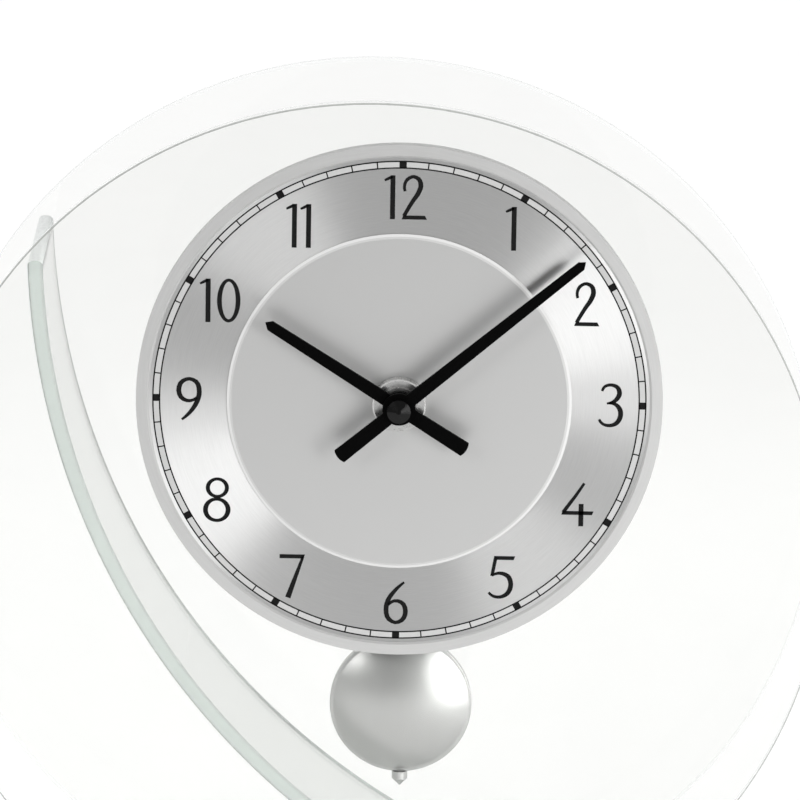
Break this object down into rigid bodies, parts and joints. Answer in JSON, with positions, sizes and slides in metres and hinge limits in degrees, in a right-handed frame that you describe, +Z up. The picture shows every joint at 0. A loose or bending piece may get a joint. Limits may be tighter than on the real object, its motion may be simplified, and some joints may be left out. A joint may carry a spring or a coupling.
{
  "type": "desk pendulum clock",
  "caption": "Round desk clock between two glass discs held apart by a curved glass strip, with a silver dial, black baton hands and a swinging pendulum bob below the dial.",
  "frame": {"origin": "on the table, under the middle of the clock's width and depth", "axes": "+X to the right as seen from the dial side, +Y to the back, +Z up"},
  "size_m": [0.24, 0.0724, 0.239],
  "materials": {
    "clear_glass": "clear, polished edges",
    "strip_glass": "clear with a faint green edge",
    "brushed_dial": "circular brushed",
    "matt_dial": "fine matt",
    "bezel_metal": "satin",
    "brass": "turned",
    "rubber": "matt",
    "bright_chrome": "polished",
    "black_hands": "satin black lacquer",
    "white_wheels": "moulded",
    "black_case": "fine moulded grain",
    "board_green": "lacquered",
    "steel": "drawn",
    "copper_wire": "enamelled wire",
    "cell_jacket": "printed film jacket",
    "bob_metal": "satin"
  },
  "bodies": {
    "stand": {"front_glass_disc": "clear_glass", "rear_glass_disc": "clear_glass", "curved_glass_strip": "strip_glass", "dial_plate": "brushed_dial", "inner_dial": "matt_dial", "dial_bezel": "bezel_metal", "threaded_bush": "bright_chrome", "rubber_gasket": "rubber", "dial_washer": "bright_chrome", "centre_nut": "bright_chrome", "circuit_board": "board_green", "driver_chip": "black_case", "quartz_crystal": "steel", "motor_stator": "steel", "motor_coil": "copper_wire", "motor_block": "black_case", "battery_cell": "cell_jacket", "contact_plus": "brass", "contact_minus": "brass", "drive_coil": "copper_wire", "coil_core": "steel", "movement_front_case": "black_case", "movement_rear_cover": "black_case", "cover_screws": "steel", "pivot_pin": "steel", "pivot_clip": "steel"},
    "minute_hand": {"minute_arbor": "brass", "centre_wheel": "white_wheels", "minute_hand": "black_hands", "hand_cap": "black_hands"},
    "hour_hand": {"hour_wheel": "white_wheels", "hour_hand": "black_hands"},
    "minute_wheel": {"minute_wheel": "white_wheels"},
    "third_wheel": {"third_wheel": "white_wheels"},
    "setting": {"setting_arbor": "black_case", "setting_knob": "black_case"},
    "pendulum": {"pendulum_lever": "black_case", "drive_magnet": "steel", "pendulum_rod": "steel", "bob_front_shell": "bob_metal", "bob_rear_shell": "bob_metal", "rating_nut": "bob_metal"}
  },
  "joints": [
    {"name": "minute_turn", "type": "hinge", "parent": "stand", "child": "minute_hand", "pos_m": [0.007, -0.0119, 0.15976], "axis": [0, 1, 0], "continuous": true},
    {"name": "hour_turn", "type": "hinge", "parent": "stand", "child": "hour_hand", "pos_m": [0.007, -0.0119, 0.15976], "axis": [0, 1, 0], "continuous": true},
    {"name": "minute_wheel_turn", "type": "hinge", "parent": "stand", "child": "minute_wheel", "pos_m": [-0.00339, -0.0119, 0.16576], "axis": [0, 1, 0], "continuous": true},
    {"name": "third_wheel_turn", "type": "hinge", "parent": "stand", "child": "third_wheel", "pos_m": [0.01847, -0.0119, 0.16779], "axis": [0, 1, 0], "continuous": true},
    {"name": "setting_turn", "type": "hinge", "parent": "stand", "child": "setting", "pos_m": [-0.01498, -0.0119, 0.16886], "axis": [0, 1, 0], "continuous": true},
    {"name": "pendulum_swing", "type": "hinge", "parent": "stand", "child": "pendulum", "pos_m": [0.0085, 0.0019, 0.15176], "axis": [0, 1, 0], "range_deg": [-8, 8]}
  ],
  "couplings": [
    {"joint": "minute_wheel_turn", "follows": "minute_turn", "ratio": -0.33333},
    {"joint": "hour_turn", "follows": "minute_turn", "ratio": 0.083333},
    {"joint": "setting_turn", "follows": "minute_turn", "ratio": 1},
    {"joint": "third_wheel_turn", "follows": "minute_turn", "ratio": -6}
  ]
}
